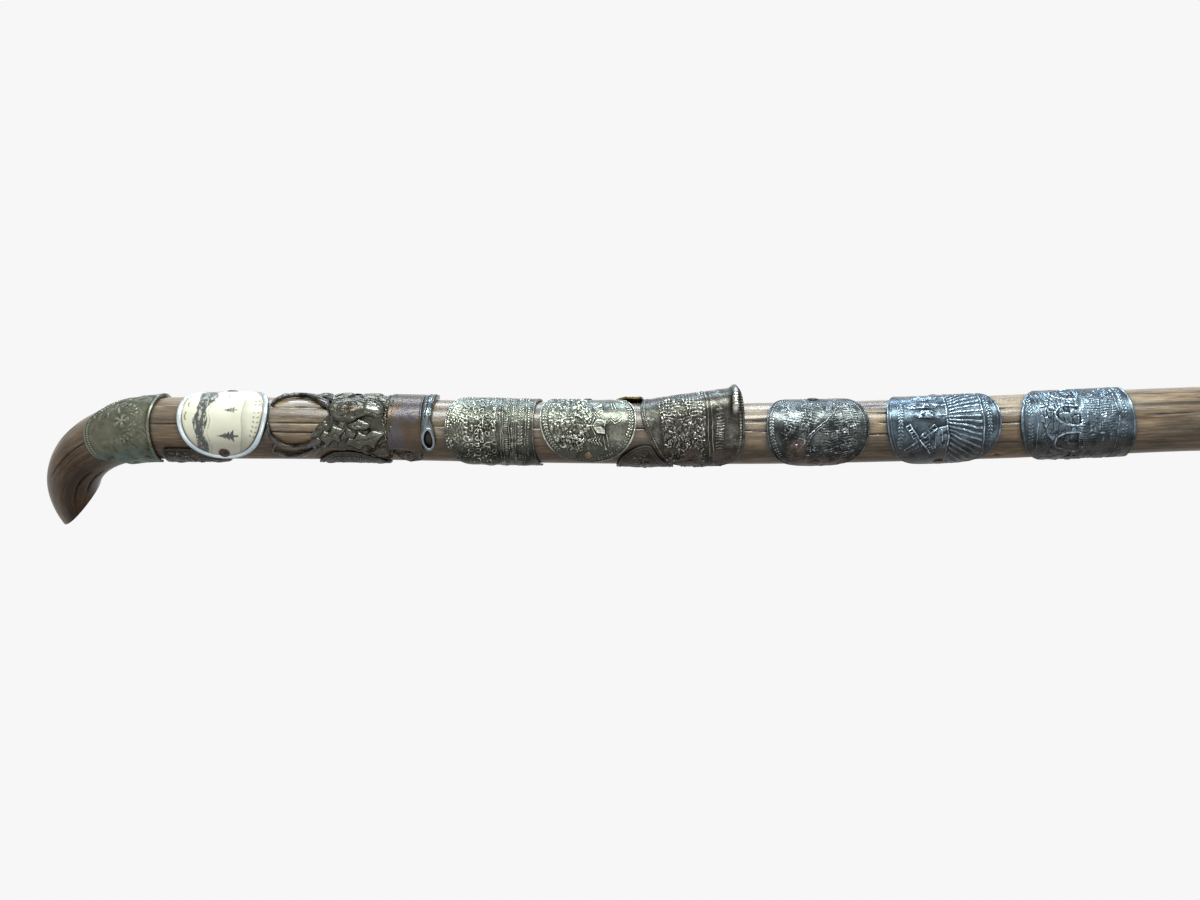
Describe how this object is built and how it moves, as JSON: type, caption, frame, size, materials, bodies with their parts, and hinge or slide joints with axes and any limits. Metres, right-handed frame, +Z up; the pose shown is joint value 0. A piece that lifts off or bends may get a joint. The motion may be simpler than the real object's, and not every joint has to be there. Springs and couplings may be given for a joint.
{
  "type": "decorated walking stick",
  "caption": "Bent-wood walking stick with a crook grip, pressed metal badges nailed round its upper shaft, a steel ferrule and a blunt steel point.",
  "frame": {"origin": "middle of the flat on the steel point's tip", "axes": "+Z up the stick towards the crook; the crook bends towards -X in the XZ plane; the badges face between -Y and +X"},
  "size_m": [0.06, 0.0264, 0.878],
  "materials": {
    "wood": "worn glossy varnish over brown wood with long dark cracks",
    "steel": "worn bare steel",
    "bronze": "olive-brown tarnish with green in the hollows",
    "dark_bronze": "dark brown tarnish, rubbed brighter on the raised parts",
    "pewter": "dull blue-grey, polished on the raised parts",
    "silver": "tarnished silver with a yellow cast",
    "tin": "bright plated cup",
    "print": "glossy cream print with a dark band",
    "copper": "reddish-brown small nails",
    "brass": "dull brass"
  },
  "bodies": {
    "root": {"badge_back_brass": "brass", "badge_barrel": "pewter", "badge_crook_shield": "bronze", "badge_disc_cup": "tin", "badge_disc_print": "print", "badge_flared": "dark_bronze", "badge_round": "silver", "badge_silver_oval": "silver", "badge_stag": "pewter", "badge_town": "silver", "badge_tree_oval": "pewter", "badge_under_arch": "dark_bronze", "badge_under_round": "pewter", "badge_under_upper": "dark_bronze", "ferrule_pin_1": "steel", "nail_back_brass_1": "copper", "nail_back_brass_2": "copper", "nail_barrel_1": "copper", "nail_barrel_2": "copper", "nail_crook_shield_2": "copper", "nail_disc_1": "copper", "nail_disc_2": "copper", "nail_flared_1": "copper", "nail_round_1": "brass", "nail_round_2": "brass", "nail_silver_oval_1": "copper", "nail_silver_oval_2": "copper", "nail_stag_1": "copper", "nail_stag_2": "copper", "nail_town_1": "copper", "nail_town_2": "copper", "nail_tree_oval_1": "copper", "nail_tree_oval_2": "copper", "nail_under_arch_1": "copper", "nail_under_arch_2": "copper", "nail_under_round_1": "copper", "nail_under_round_2": "copper", "nail_under_upper_1": "copper", "nail_under_upper_2": "copper", "stick_wood": "wood", "tip_ferrule": "steel", "tip_spike": "steel"}
  },
  "joints": []
}
